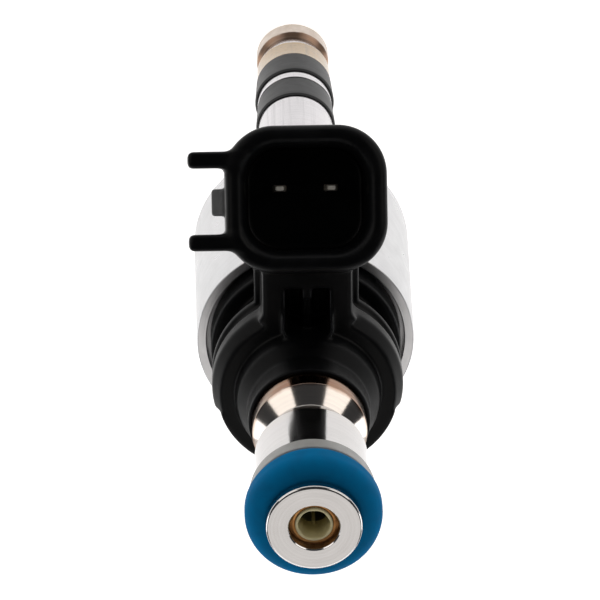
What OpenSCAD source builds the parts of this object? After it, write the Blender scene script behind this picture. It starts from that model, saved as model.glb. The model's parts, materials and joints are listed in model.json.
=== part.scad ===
// Solenoid fuel injector for gasoline direct injection.
// Millimetres. +Z runs along the injector axis from the nozzle tip to the fuel inlet.
// The origin is the centre of the nozzle's end face. The plug socket is on the -Y side.

/* [Nozzle] */
// Length from the tip to the underside of the solenoid housing
nozzle_len = 36.3; // [30:0.1:60]
// Outer diameter of the nozzle tube
nozzle_d = 7.4; // [6:0.1:9]
// Bore of the nozzle tube
nozzle_bore_d = 5.2; // [4.4:0.1:5.6]
// Distance from the tip to the first combustion seal
seal_start = 6.2; // [5:0.1:9]
// Length of one combustion seal
seal_len = 3.9; // [2:0.1:4.6]
// Land between the two combustion seals
seal_gap = 1.05; // [0.6:0.05:3]
// How far a seal stands proud of the tube at its inlet end
seal_proud = 0.22; // [0.05:0.01:0.5]
// Depth of the seal grooves
seal_groove = 0.55; // [0.3:0.05:0.7]
// Height of the end ring at the tip
tip_ring_h = 1.76; // [1.2:0.02:2]
// Diameter of the step above the end ring
hub_d = 12.4; // [10:0.1:14]

/* [Valve] */
// Diameter of the valve ball
ball_d = 3.2; // [2.6:0.1:3.6]
// Diameter of the needle rod
needle_d = 2; // [1.6:0.1:2.4]
// Lift of the needle from shut to open
needle_lift = 0.08; // [0.05:0.01:0.2]
// Travel of the armature on the needle against the damper spring
armature_travel = 0.05; // [0.02:0.01:0.1]
// Length of the armature
armature_len = 5.3; // [4:0.1:7]
// Radial running clearance of the sliding pieces
running_gap = 0.03; // [0.01:0.01:0.08]

/* [Solenoid housing] */
// Outer diameter of the solenoid housing
housing_d = 20.7; // [18:0.1:26]
// Length of the solenoid housing
housing_len = 19.6; // [17:0.1:28]
// Wall of the solenoid housing
housing_wall = 0.92; // [0.6:0.02:1.4]
// Thickness of the housing's floor
housing_floor = 2.5; // [1.5:0.1:4]
// Outer diameter of the valve sleeve and of the fitting's lower collar
sleeve_d = 10.8; // [9.6:0.1:12]
// Wall of the valve sleeve
sleeve_wall = 0.9; // [0.6:0.05:1.1]

/* [Fuel inlet] */
// Diameter of the inlet flange
flange_d = 8.94; // [8:0.02:10]
// Thickness of the inlet flange
flange_t = 1; // [0.6:0.1:2]
// Bore at the inlet
inlet_bore_d = 4.7; // [4:0.02:5.4]
// Outer diameter of the fuel-rail O-ring
oring_d = 12.83; // [11.6:0.01:14]
// Height of the O-ring's section along the axis
oring_h = 3.6; // [2.6:0.1:4]
// Thickness of the O-ring's section across
oring_t = 3; // [2.4:0.1:3.2]
// Outer diameter of the backup ring
backup_d = 11.8; // [10.8:0.1:12.4]
// Height of the backup ring
backup_h = 1.5; // [1:0.1:2.5]
// Diameter of the barrel behind the backup ring
barrel_d = 10.52; // [9.6:0.02:11]
// Length of the barrel
barrel_len = 6.7; // [5:0.1:12]
// Diameter of the clip neck
neck_d = 7.8; // [7:0.1:8.6]
// Length of the clip neck
neck_len = 2.5; // [1.5:0.1:5]
// Length of the cone below the clip neck
cone_len = 1.5; // [1:0.1:3]
// Visible length of the collar below the cone
ring_len = 1.8; // [1:0.1:4]
// Overall length of the filter
filter_len = 11.6; // [8:0.1:14]

/* [Overmould] */
// Gap between the overmould's neck and the housing's wall
neck_gap = 0.38; // [0.1:0.02:1]
// How far the lower ridge stands out of the housing
ridge_proud = 1.8; // [1:0.1:4]
// Width of the deep groove
deep_groove = 3.3; // [2:0.1:6]
// Thickness of the thin disc
disc_t = 0.9; // [0.6:0.1:2]
// Width of the shallow groove
shallow_groove = 1.1; // [0.6:0.1:2]
// Length of the collar
collar_len = 2.8; // [2:0.1:5]
// Length of the shoulder above the collar
shoulder_len = 1.6; // [1:0.1:3]
// Length of the taper above the shoulder
taper_len = 1.5; // [1:0.1:3]
// Length of the boss
boss_len = 2.3; // [1.5:0.1:5]
// Wall of the boss round the fitting
boss_wall = 0.38; // [0.3:0.02:2]

/* [Plug socket] */
// Angle of the socket to the injector axis
socket_angle = 30; // [20:1:38]
// Distance of the socket's mouth from the injector axis
socket_reach = 21.08; // [20:0.02:26]
// Height of the mouth above the collar's front face
socket_rise = -0.11; // [-1:0.01:4]
// Outer width of the socket
socket_w = 15.16; // [14:0.02:18]
// Outer height of the socket
socket_h = 13.76; // [12:0.02:16]
// Corner radius of the socket
socket_r = 4.6; // [3:0.1:5.5]
// Wall at the mouth
socket_lip = 1.2; // [0.8:0.05:1.6]
// Wall below the inner step
socket_wall = 2.1; // [1.6:0.05:2.6]
// Depth of the inner step
step_depth = 2.2; // [1:0.1:4]
// Depth of the cavity
socket_depth = 9.6; // [8:0.1:11]
// Distance between the two terminals
pin_pitch = 4.87; // [4:0.01:6]
// Width of a terminal
pin_w = 1.3; // [0.8:0.05:1.6]
// Thickness of a terminal
pin_t = 0.64; // [0.5:0.02:0.8]
// Width of the stem's front face
stem_w = 8.45; // [7:0.05:10]
// Projection of the two guide rails
rail_reach = 3.45; // [2:0.05:5]
// Thickness of a guide rail
rail_t = 1.55; // [1:0.05:2.2]
// Distance between the guide rails
rail_pitch = 7.75; // [6:0.05:9]
// Length of the guide rails along the socket
rail_len = 8; // [5:0.1:10]

/* [Hidden] */
$fn = 96;

// Heights along the axis, stacked from the tip.
z_housing = nozzle_len;
z_rim = z_housing + housing_len;
z_ridge = z_rim + ridge_proud;
z_disc = z_ridge + deep_groove;
z_groove = z_disc + disc_t;
z_collar = z_groove + shallow_groove;
z_face = z_collar + collar_len;
z_taper = z_face + shoulder_len;
z_boss = z_taper + taper_len;
z_ring = z_boss + boss_len;
z_cone = z_ring + ring_len;
z_neck = z_cone + cone_len;
z_barrel = z_neck + neck_len;
z_backup = z_barrel + barrel_len;
z_oring = z_backup + backup_h;
oring_slack = 0.2;
z_flange = z_oring + oring_h + oring_slack;
z_inlet = z_flange + flange_t;

// Radii of the metal core.
nozzle_r = nozzle_d / 2;
bore_r = nozzle_bore_d / 2;
hub_r = hub_d / 2;
housing_r = housing_d / 2;
pot_r = housing_r - housing_wall;
sleeve_r = sleeve_d / 2;
core_r = sleeve_r - sleeve_wall;
fuel_bore_r = 1.9;
inlet_bore_r = inlet_bore_d / 2;
groove_r = oring_d / 2 - oring_t;

// Edge breaks.
fine_break = 0.1;
edge_break = 0.15;
flange_round = 0.18;
barrel_break = 0.2;
inlet_chamfer = 0.1;
housing_round = 1.2;

// Valve group, from the seat up.
ball_r = ball_d / 2;
needle_r = needle_d / 2;
seat_clearance = 0.01;
seat_floor = 0.5;
sac_r = 0.45;
cone_at_axis = 0.34;
z_ball = cone_at_axis + (ball_r + seat_clearance) * sqrt(2);
z_seat_top = tip_ring_h + 1.7;
guide_seat_r = ball_r + 0.5;
z_guide = cone_at_axis + guide_seat_r;
z_hub_top = z_housing + housing_floor;
spigot_len = 2.4;
z_spigot = z_hub_top + spigot_len;
chamber_r = core_r - 1;
z_armature = z_spigot + 0.4;
z_armature_top = z_armature + armature_len;
residual_gap = 0.03;
z_pole = z_armature_top + needle_lift + residual_gap;
stop_top_h = 1.4;
stop_r = 1.75;
pole_bore_r = 2;
z_stop_top = z_armature_top + stop_top_h;
z_adjuster = z_stop_top + 8.7;
adjuster_len = 5;
sleeve_joint = 0.2;
z_sleeve_top = z_face + sleeve_joint;
fitting_spigot = 3;
z_core_top = z_sleeve_top - fitting_spigot;
cup_r = 2.9;
cup_h = 1.6;
damper_r = 1.62;
damper_pocket_r = 2.3;
damper_pocket = 1;
damper_floor = 0.5;
z_cup = z_armature - armature_travel - cup_h;

// Tip: end ring, cone and groove below the tube's end, and the land before the first seal.
tip_ring_r = nozzle_r - 0.12;
tip_groove_r = nozzle_r - 0.65;
tip_cone_h = 0.5;
z_tube_end = tip_ring_h + 0.9;
land_r = nozzle_r - 0.08;
hub_rise = 2.5;

// Coil.
coil_clear = 0.06;
z_bobbin = z_hub_top + 0.6;
washer_t = 2;
z_washer = z_rim - 1.1 - washer_t;
bobbin_r = sleeve_r + coil_clear;
bobbin_wall = 0.8;
flange_wall = 0.9;
coil_room = 0.5;
bobbin_flange_r = pot_r - coil_room;
winding_gap = 0.3;

// Overmould.
disc_r = pot_r - neck_gap;
deep_r = disc_r - 1.5;
shallow_r = disc_r - 0.45;
face_r = disc_r - 0.77;
face_chamfer = 1.3;
relief_start = 2.3;
shoulder_r = sleeve_r + 1.5;
taper_r = sleeve_r + 1.3;
stem_fillet = 1.5;
under_gap = 2.04;
fillet_step = 0.06;
boss_r = sleeve_r + boss_wall;
z_plug = z_washer + washer_t;

// Socket: its origin is the middle of the mouth.
socket_origin = [0, -socket_reach, z_face + socket_rise];
body_back = 2.4;
stem_half = stem_w / 2;
web_half = stem_half + 0.72;
pocket_half = 2.06;
pocket_depth = 3;
pocket_tip = sleeve_r + 1.1;
pocket_side = shoulder_r + 0.05;
pocket_end = socket_reach - 9.78;
rib_half = 0.47;
rib_drop = 1.2;
rib_step = pocket_end - 1.2;
pin_offset = -1;
pin_sink = 3.6;
rail_offset = 0.1;
rail_round = 0.45;
ramp_w = 2.55;
ramp_reach = 1.25;
ramp_offset = 0.22;
ramp_start = 2.4;
ramp_len = 4;

// A point of the socket's middle plane, y toward the injector axis and d below the mouth,
// given as [y, z] of the part.
function socket_point(y, d) = [
    -socket_reach + y * cos(socket_angle) + d * sin(socket_angle),
    z_face + socket_rise + y * sin(socket_angle) - d * cos(socket_angle)];

// Corners of a terminal's middle line: tip, turn behind the socket, turn at the neck, foot.
leg_y = -(sleeve_r + 0.8);
pin_line = [socket_point(pin_offset, pin_sink), socket_point(pin_offset, socket_depth + 1.2),
    [leg_y, z_ridge + 1.5], [leg_y, z_washer - 0.3]];

// Frame of the plug socket: x across, y toward the injector axis, z out of the mouth.
module in_socket() {
    translate(socket_origin) rotate([socket_angle, 0, 0]) children();
}

// Rounded rectangle made of true arcs.
module rounded_rect(w, h, r) {
    square([w - 2 * r, h], center = true);
    square([w, h - 2 * r], center = true);
    for (x = [-1, 1], y = [-1, 1]) translate([x * (w / 2 - r), y * (h / 2 - r)]) circle(r);
}

// Ring with a square section.
module tube(ro, ri, z0, z1) {
    translate([0, 0, z0]) difference() {
        cylinder(r = ro, h = z1 - z0);
        translate([0, 0, -1]) cylinder(r = ri, h = z1 - z0 + 2);
    }
}

// Closed round coil: a wire of radius w swept along turns between z0 and z1.
module coil_spring(r, w, z0, z1, turns, per_turn = 20, sides = 8) {
    n = turns * per_turn;
    span = z1 - z0 - 2 * w;
    ease = function(t) t < 0.5 ? 2 * t * t : 1 - 2 * (1 - t) * (1 - t);
    rise = function(t) t < 0.15 ? 0.055 * ease(t / 0.15) + 0.03 * t
        : t > 0.85 ? 1 - 0.055 * ease((1 - t) / 0.15) - 0.03 * (1 - t)
        : 0.0595 + (t - 0.15) / 0.7 * 0.881;
    points = [for (i = [0:n], k = [0:sides - 1])
        let (a = i * 360 / per_turn, b = k * 360 / sides, q = r + w * cos(b))
        [q * cos(a), q * sin(a), z0 + w + span * rise(i / n) + w * sin(b)]];
    walls = [for (i = [0:n - 1], k = [0:sides - 1])
        let (j = (k + 1) % sides)
        [i * sides + k, i * sides + j, (i + 1) * sides + j, (i + 1) * sides + k]];
    first = [for (k = [sides - 1:-1:0]) k];
    last = [for (k = [0:sides - 1]) n * sides + k];
    polyhedron(points = points, faces = concat(walls, [first], [last]), convexity = 10);
}

module inlet_fitting() {
    color("silver") difference() {
        rotate_extrude() polygon([
            [0, z_core_top], [core_r, z_core_top], [core_r, z_sleeve_top],
            [sleeve_r, z_sleeve_top], [sleeve_r, z_cone], [neck_d / 2, z_neck],
            [neck_d / 2, z_barrel], [barrel_d / 2 - barrel_break, z_barrel],
            [barrel_d / 2, z_barrel + barrel_break], [barrel_d / 2, z_backup],
            [groove_r, z_backup], [groove_r, z_flange],
            [flange_d / 2 - fine_break, z_flange], [flange_d / 2, z_flange + fine_break],
            [flange_d / 2, z_inlet - flange_round], [flange_d / 2 - flange_round, z_inlet],
            [0, z_inlet]]);
        translate([0, 0, z_core_top - 1]) cylinder(r = fuel_bore_r, h = z_inlet - z_core_top);
        translate([0, 0, z_inlet - filter_len - 1.2])
            cylinder(r = inlet_bore_r, h = filter_len + 2);
        translate([0, 0, z_inlet - 2 * inlet_chamfer / 3])
            cylinder(r1 = inlet_bore_r, r2 = inlet_bore_r + inlet_chamfer, h = inlet_chamfer);
    }
}

module inlet_o_ring() {
    corner = oring_t / 2 - 0.05;
    mid = oring_d / 2 - oring_t / 2;
    color("steelblue") translate([0, 0, z_oring + oring_slack / 2])
        rotate_extrude() translate([mid, oring_h / 2])
            rounded_rect(oring_t, oring_h, corner);
}

module backup_ring() {
    color("gainsboro") rotate_extrude() polygon([
        [groove_r, z_backup], [backup_d / 2 - edge_break, z_backup],
        [backup_d / 2, z_backup + edge_break], [backup_d / 2, z_oring - fine_break],
        [backup_d / 2 - fine_break, z_oring], [groove_r, z_oring]]);
}

// The filter hangs in the inlet bore.
filter_top = z_inlet - 0.6;
filter_bottom = z_inlet - filter_len;
filter_rim_h = 3;
collar_wall = 0.59;
lip_wall = 0.28;
lip_r = inlet_bore_r - collar_wall;
hole_r = lip_r - lip_wall;
mesh_t = 0.1;
rib_t = 0.35;
window_w = 2 * hole_r * sin(31.3);

module filter_collar() {
    color("peru") rotate_extrude() polygon([
        [lip_r, filter_top - filter_rim_h], [inlet_bore_r, filter_top - filter_rim_h],
        [inlet_bore_r, filter_top - 0.45], [lip_r + 0.4 * collar_wall, filter_top - 0.15],
        [lip_r, filter_top - 0.2]]);
}

module filter_basket() {
    color("wheat") {
        tube(lip_r, hole_r, filter_top - filter_rim_h, filter_top);
        difference() {
            tube(hole_r, hole_r - rib_t, filter_bottom, filter_top - 1);
            for (a = [45:90:315]) rotate([0, 0, a])
                translate([0, -window_w / 2, filter_bottom + 0.6])
                    cube([3, window_w, filter_top - filter_bottom - 2.2]);
        }
        translate([0, 0, filter_bottom]) cylinder(r = hole_r + mesh_t, h = 0.5);
    }
}

module filter_mesh() {
    color("darkkhaki") tube(hole_r + mesh_t, hole_r, filter_bottom + 0.5, filter_top - filter_rim_h);
}

module valve_sleeve() {
    color("silver") tube(sleeve_r, core_r, z_hub_top, z_sleeve_top);
}

module pole_core() {
    color("gray") difference() {
        translate([0, 0, z_pole]) cylinder(r = core_r, h = z_core_top - z_pole);
        translate([0, 0, z_pole - 1]) cylinder(r = pole_bore_r, h = z_core_top - z_pole + 2);
    }
}

module adjusting_sleeve() {
    color("darkgray") difference() {
        tube(pole_bore_r, pole_bore_r - 0.6, z_adjuster, z_adjuster + adjuster_len);
        translate([0, -0.25, z_adjuster - 1]) cube([3, 0.5, adjuster_len + 2]);
    }
}

module return_spring() {
    color("slategray") coil_spring(1.35, 0.32, z_stop_top, z_adjuster, 7);
}

module upper_stop_ring() {
    color("lightsteelblue") tube(stop_r, needle_r, z_armature_top, z_stop_top);
}

module armature() {
    flow_r = (core_r + damper_pocket_r) / 2;
    color("gray") difference() {
        translate([0, 0, z_armature]) cylinder(r = core_r - 2 * running_gap, h = armature_len);
        translate([0, 0, z_armature - 1]) cylinder(r = needle_r + running_gap, h = armature_len + 2);
        translate([0, 0, z_armature - 1]) cylinder(r = damper_pocket_r, h = 1 + damper_pocket);
        for (a = [0:60:300]) rotate([0, 0, a]) translate([flow_r, 0, z_armature - 1])
            cylinder(r = 0.45, h = armature_len + 2);
    }
}

module damper_spring() {
    color("slategray")
        coil_spring(damper_r, 0.18, z_cup + damper_floor, z_armature + damper_pocket, 3);
}

module lower_stop_ring() {
    color("lightsteelblue") difference() {
        tube(cup_r, needle_r, z_cup, z_cup + cup_h);
        translate([0, 0, z_cup + damper_floor]) cylinder(r = damper_pocket_r, h = cup_h);
    }
}

module needle() {
    color("lightsteelblue") difference() {
        translate([0, 0, z_ball]) cylinder(r = needle_r, h = z_stop_top - z_ball);
        translate([0, 0, z_ball]) sphere(r = ball_r);
    }
}

module valve_ball() {
    color("white") translate([0, 0, z_ball]) sphere(r = ball_r);
}

module needle_guide() {
    color("darkgray") difference() {
        tube(guide_seat_r, ball_r + running_gap, z_guide, z_seat_top);
        for (a = [0:120:240]) rotate([0, 0, a]) translate([ball_r - 0.2, -0.5, z_guide - 1])
            cube([0.5, 1, 4]);
    }
}

module valve_seat() {
    color("burlywood") difference() {
        rotate_extrude() polygon([
            [0, 0], [tip_ring_r - edge_break, 0], [tip_ring_r, edge_break],
            [tip_ring_r, tip_ring_h], [tip_groove_r, tip_ring_h + tip_cone_h],
            [tip_groove_r, z_tube_end], [bore_r, z_tube_end], [bore_r, z_seat_top],
            [0, z_seat_top]]);
        translate([0, 0, z_guide]) cylinder(r = guide_seat_r, h = 5);
        translate([0, 0, cone_at_axis + sac_r])
            cylinder(r1 = sac_r, r2 = guide_seat_r, h = guide_seat_r - sac_r);
        translate([0, 0, seat_floor]) cylinder(r = sac_r, h = 1);
        for (a = [30:60:330]) rotate([0, 0, a]) translate([0.3, 0, 0.65]) rotate([0, 145, 0]) {
            cylinder(r = 0.1, h = 2);
            translate([0, 0, 0.5]) cylinder(r = 0.22, h = 2);
        }
    }
}

module nozzle_tube() {
    z_land = z_tube_end + 1.27;
    z_hub = z_housing - hub_rise;
    z_seal_2 = seal_start + seal_len + seal_gap;
    groove = nozzle_r - seal_groove;
    color("silver") difference() {
        rotate_extrude() polygon([
            [0, z_tube_end], [tip_groove_r, z_tube_end], [tip_groove_r + 0.33, z_tube_end + 0.3],
            [land_r, z_land], [land_r, seal_start],
            [groove, seal_start], [groove, seal_start + seal_len],
            [nozzle_r, seal_start + seal_len], [nozzle_r, z_seal_2],
            [groove, z_seal_2], [groove, z_seal_2 + seal_len],
            [nozzle_r, z_seal_2 + seal_len], [nozzle_r, z_hub - (hub_r - nozzle_r)],
            [hub_r, z_hub], [hub_r, z_hub_top], [core_r, z_hub_top],
            [core_r, z_spigot], [0, z_spigot]]);
        translate([0, 0, z_tube_end - 1]) cylinder(r = bore_r, h = z_spigot);
        translate([0, 0, z_spigot - 3.4]) cylinder(r = chamber_r, h = 5);
    }
}

// A combustion seal is proud of the tube at its upper edge and flush at its lower edge.
module combustion_seal(z0) {
    top_r = nozzle_r + seal_proud;
    color("dimgray") rotate_extrude() polygon([
        [nozzle_r - seal_groove, z0], [nozzle_r - 0.1, z0], [nozzle_r + 0.02, z0 + 0.3],
        [top_r, z0 + seal_len - 0.25], [top_r - 0.12, z0 + seal_len],
        [nozzle_r - seal_groove, z0 + seal_len]]);
}

module combustion_seal_lower() {
    combustion_seal(seal_start);
}

module combustion_seal_upper() {
    combustion_seal(seal_start + seal_len + seal_gap);
}

module solenoid_housing() {
    color("silver") difference() {
        rotate_extrude() polygon([
            [hub_r, z_housing], [housing_r - housing_round, z_housing],
            for (a = [0:15:90]) [housing_r - housing_round * (1 - sin(a)),
                z_housing + housing_round * (1 - cos(a))],
            [housing_r, z_rim - fine_break], [housing_r - fine_break, z_rim],
            [pot_r + fine_break, z_rim], [pot_r, z_rim - fine_break], [pot_r, z_hub_top],
            [hub_r, z_hub_top]]);
    }
}

module flux_washer() {
    color("gray") difference() {
        tube(pot_r, sleeve_r, z_washer, z_washer + washer_t);
        translate([-pin_pitch / 2 - 1.4, -pot_r - 1, z_washer - 1])
            cube([pin_pitch + 2.8, pot_r + 1 + leg_y + 0.6, washer_t + 2]);
    }
}

module coil_bobbin() {
    color("saddlebrown") {
        tube(bobbin_flange_r, bobbin_r, z_bobbin, z_bobbin + flange_wall);
        tube(bobbin_r + bobbin_wall, bobbin_r, z_bobbin + flange_wall / 2, z_washer - 0.3);
        tube(bobbin_flange_r, bobbin_r, z_washer - 0.3 - flange_wall, z_washer - 0.3);
    }
}

module coil_winding() {
    color("orangered") tube(bobbin_flange_r - winding_gap, bobbin_r + bobbin_wall,
        z_bobbin + flange_wall, z_washer - 0.3 - flange_wall);
}

// Round body of the overmould, from the washer to the boss.
module overmould_body() {
    rotate_extrude() polygon([
        [0, z_plug], [disc_r, z_plug], [disc_r, z_ridge], [deep_r, z_ridge],
        [deep_r, z_disc], [disc_r - 0.05, z_disc], [disc_r - 0.05, z_groove],
        [shallow_r, z_groove], [shallow_r, z_collar], [disc_r, z_collar],
        [disc_r, z_face - face_chamfer], [face_r, z_face], [shoulder_r, z_face],
        [taper_r, z_taper], [boss_r, z_boss], [boss_r, z_ring], [0, z_ring]]);
}

// Half ring away from the socket, where the collar is only as wide as the shallow groove.
module collar_relief() {
    room = disc_r + 1;
    difference() {
        tube(room, shallow_r, z_collar, z_face + 1);
        translate([-room - 1, -room - 1, z_collar - 1])
            cube([2 * room + 2, room + 1 + relief_start, collar_len + 3]);
    }
}

// Arm from the round body to the back of the socket.
module stem() {
    inner = socket_h / 2 - 0.6;
    back = socket_depth + body_back;
    under = z_rim + 0.9;
    wall_top = socket_point(inner, 2.2);
    side = [[-sleeve_r, z_face], [-socket_reach + 7, z_face], wall_top,
        socket_point(0, socket_depth + 1), socket_point(-socket_h / 2 + 2.2, socket_depth + 1),
        socket_point(-socket_h / 2 + 2.2, back),
        [-housing_r - under_gap, socket_point(socket_h / 2 - 4.2, back + 1.5)[1]],
        [-housing_r - 0.6, under], [-sleeve_r, under]];
    translate([stem_half, 0, 0]) rotate([0, -90, 0]) linear_extrude(stem_w)
        polygon([for (p = side) [p[1], p[0]]]);
    translate([-web_half, -socket_reach + 5.4, z_disc])
        cube([2 * web_half, socket_reach - 5.4 - sleeve_r, disc_t]);
    translate([0, 0, z_collar]) linear_extrude(collar_len) stem_flare();
}

// Fillets between the stem's sides and the round collar. Each ends in a small step on both.
module stem_flare() {
    x = stem_half + stem_fillet;
    y = -sqrt((disc_r + stem_fillet) ^ 2 - x ^ 2);
    share = disc_r / (disc_r + stem_fillet);
    for (side = [0, 1]) mirror([side, 0]) difference() {
        polygon([[0, y], [x, y], [x * share, y * share], [0, y * share]]);
        translate([x, y]) circle(r = stem_fillet + fillet_step);
    }
}

// Rail with two rounded outer edges, rooted in the socket's wall.
module guide_rail() {
    root = 1.5;
    full = root + rail_reach;
    linear_extrude(rail_len) translate([socket_w / 2 - root, 0]) {
        translate([0, -rail_t / 2]) square([full - rail_round, rail_t]);
        translate([0, rail_round - rail_t / 2]) square([full, rail_t - 2 * rail_round]);
        for (y = [-1, 1]) translate([full - rail_round, y * (rail_t / 2 - rail_round)])
            circle(r = rail_round);
    }
}

// Wedge that a plug's latch snaps over: it rises away from the mouth.
module lock_ramp() {
    rotate([90, 0, 0]) linear_extrude(ramp_w) polygon([[-1, 0], [0.15, 0],
        [ramp_reach, -ramp_len * 0.6], [ramp_reach, -ramp_len], [-1, -ramp_len]]);
}

module socket_shell() {
    in_socket() {
        translate([0, 0, -socket_depth - body_back]) linear_extrude(socket_depth + body_back)
            rounded_rect(socket_w, socket_h, socket_r);
        for (y = [-1, 1]) translate([0, y * rail_pitch / 2 + rail_offset, -rail_len]) guide_rail();
        translate([socket_w / 2, ramp_offset + ramp_w / 2, -ramp_start]) lock_ramp();
    }
}

module socket_cavity() {
    in_socket() {
        translate([0, 0, -socket_depth]) linear_extrude(socket_depth + 1)
            rounded_rect(socket_w - 2 * socket_wall, socket_h - 2 * socket_wall, socket_r - 1.6);
        translate([0, 0, -step_depth]) linear_extrude(step_depth + 1)
            rounded_rect(socket_w - 2 * socket_lip, socket_h - 2 * socket_lip, socket_r - 0.9);
    }
}

// Pocket in the stem's front face, with a pointed lower end and a rib down its middle.
module stem_pocket() {
    difference() {
        translate([0, 0, z_face - pocket_depth]) linear_extrude(pocket_depth + 4)
            polygon([[-pocket_half, -pocket_end], [pocket_half, -pocket_end],
                [pocket_half, -pocket_side], [0.3, -pocket_tip], [-0.3, -pocket_tip],
                [-pocket_half, -pocket_side]]);
        translate([-rib_half, -pocket_end - 1, z_face - pocket_depth - 1])
            cube([2 * rib_half, pocket_end, pocket_depth + 1 - rib_drop]);
        translate([-rib_half, -pocket_end - 1, z_face - pocket_depth - 1])
            cube([2 * rib_half, pocket_end - rib_step + 1, pocket_depth + 1]);
    }
}

module connector_housing() {
    color("#202225") difference() {
        union() {
            overmould_body();
            stem();
            socket_shell();
        }
        socket_cavity();
        stem_pocket();
        collar_relief();
        translate([0, 0, z_plug - 1]) cylinder(r = sleeve_r, h = z_ring - z_plug + 2);
        terminal(1);
        terminal(-1);
    }
}

// Flat bar of the terminal's section between two [y, z] points.
module bar(a, b) {
    d = b - a;
    translate([-pin_w / 2, a[0], a[1]]) rotate([atan2(d[1], d[0]), 0, 0])
        translate([0, 0, -pin_t / 2]) cube([pin_w, norm(d), pin_t]);
}

// A terminal: a blade in the socket, a slanted run to the neck, and a leg down to the coil.
module terminal(side) {
    translate([side * pin_pitch / 2, 0, 0]) {
        for (i = [0:2]) bar(pin_line[i], pin_line[i + 1]);
        for (i = [1, 2]) translate([-pin_w / 2, pin_line[i][0], pin_line[i][1]])
            rotate([0, 90, 0]) cylinder(d = pin_t, h = pin_w);
    }
}

module terminal_plus() {
    color("goldenrod") terminal(1);
}

module terminal_minus() {
    color("goldenrod") terminal(-1);
}

inlet_fitting();
inlet_o_ring();
backup_ring();
filter_collar();
filter_basket();
filter_mesh();
connector_housing();
terminal_plus();
terminal_minus();
solenoid_housing();
flux_washer();
coil_bobbin();
coil_winding();
valve_sleeve();
pole_core();
adjusting_sleeve();
return_spring();
upper_stop_ring();
armature();
damper_spring();
lower_stop_ring();
needle();
valve_ball();
needle_guide();
nozzle_tube();
valve_seat();
combustion_seal_lower();
combustion_seal_upper();
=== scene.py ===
import json
import math

import bmesh
import bpy
import numpy as np
from mathutils import Matrix, Vector


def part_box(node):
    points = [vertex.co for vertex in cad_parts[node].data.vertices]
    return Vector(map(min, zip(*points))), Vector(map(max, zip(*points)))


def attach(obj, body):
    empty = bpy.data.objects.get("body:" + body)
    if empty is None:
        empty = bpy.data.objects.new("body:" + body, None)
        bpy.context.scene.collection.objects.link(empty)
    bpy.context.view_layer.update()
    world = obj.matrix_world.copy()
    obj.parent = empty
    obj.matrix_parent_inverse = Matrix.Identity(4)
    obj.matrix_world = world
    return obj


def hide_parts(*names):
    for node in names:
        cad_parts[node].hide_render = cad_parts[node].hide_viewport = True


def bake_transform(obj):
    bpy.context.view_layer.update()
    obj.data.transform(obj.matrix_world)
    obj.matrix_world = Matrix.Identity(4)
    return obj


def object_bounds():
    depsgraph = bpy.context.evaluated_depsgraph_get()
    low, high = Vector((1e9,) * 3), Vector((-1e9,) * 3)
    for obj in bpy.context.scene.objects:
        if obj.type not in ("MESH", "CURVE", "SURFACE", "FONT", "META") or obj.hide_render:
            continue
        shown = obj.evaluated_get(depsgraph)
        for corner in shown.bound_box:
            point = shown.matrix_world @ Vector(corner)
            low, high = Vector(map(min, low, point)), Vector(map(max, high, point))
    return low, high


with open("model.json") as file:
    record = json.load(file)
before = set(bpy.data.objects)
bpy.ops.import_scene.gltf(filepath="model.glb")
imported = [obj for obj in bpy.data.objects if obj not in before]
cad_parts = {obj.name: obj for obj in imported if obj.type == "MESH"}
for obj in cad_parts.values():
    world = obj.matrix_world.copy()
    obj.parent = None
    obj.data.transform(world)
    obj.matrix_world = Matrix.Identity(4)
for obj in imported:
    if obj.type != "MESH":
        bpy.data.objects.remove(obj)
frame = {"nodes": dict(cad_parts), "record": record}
cad_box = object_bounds()
MM = 0.001


def span(node):
    """Lowest height, highest height and largest half-width across X of a CAD node, in millimetres."""
    low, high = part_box(node)
    return low.z / MM, high.z / MM, high.x / MM


# ---------------------------------------------------------------- camera and light
axis_mid = Vector((0, 0, 0.5 * (cad_box[0][2] + cad_box[1][2]) + 1 * MM))
camera_distance = 0.9
tilt, swing, roll = math.radians(30.48), math.radians(1.9), -0.04644
right = Vector((-1, 0, 0))
up = Vector((0, -math.cos(tilt), -math.sin(tilt)))
back = Vector((0, -math.sin(tilt), math.cos(tilt)))
right, up = (
    math.cos(roll) * right + math.sin(roll) * up,
    -math.sin(roll) * right + math.cos(roll) * up,
)
turn = Matrix.Rotation(swing, 3, "Z")
right, up, back = turn @ right, turn @ up, turn @ back
cam_data = bpy.data.cameras.new("camera")
cam_data.sensor_width = 36
cam_data.lens = 560.9
# shares of the picture's width
cam_data.shift_x, cam_data.shift_y = -0.0051333, -0.0225
cam_data.clip_start, cam_data.clip_end = 0.01, 20
camera = bpy.data.objects.new("camera", cam_data)
bpy.context.scene.collection.objects.link(camera)
facing = Matrix((right, up, back)).transposed().to_4x4()
camera.matrix_world = Matrix.Translation(axis_mid + camera_distance * back) @ facing
bpy.context.scene.camera = camera
bpy.context.scene.view_settings.view_transform = "Standard"


def softbox(name, direction, distance, width, height, brightness, color=(1, 1, 1)):
    """Area light that faces the middle of the part from a direction. Brightness 1 looks white in a mirror."""
    data = bpy.data.lights.new(name, "AREA")
    data.shape = "RECTANGLE"
    data.size, data.size_y = width, height
    data.energy = brightness * math.pi * width * height
    data.color = color
    lamp = bpy.data.objects.new(name, data)
    bpy.context.scene.collection.objects.link(lamp)
    d = Vector(direction).normalized()
    lamp.location = axis_mid + distance * d
    lamp.rotation_euler = d.to_track_quat("Z", "Y").to_euler()
    lamp.visible_camera = False


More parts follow.
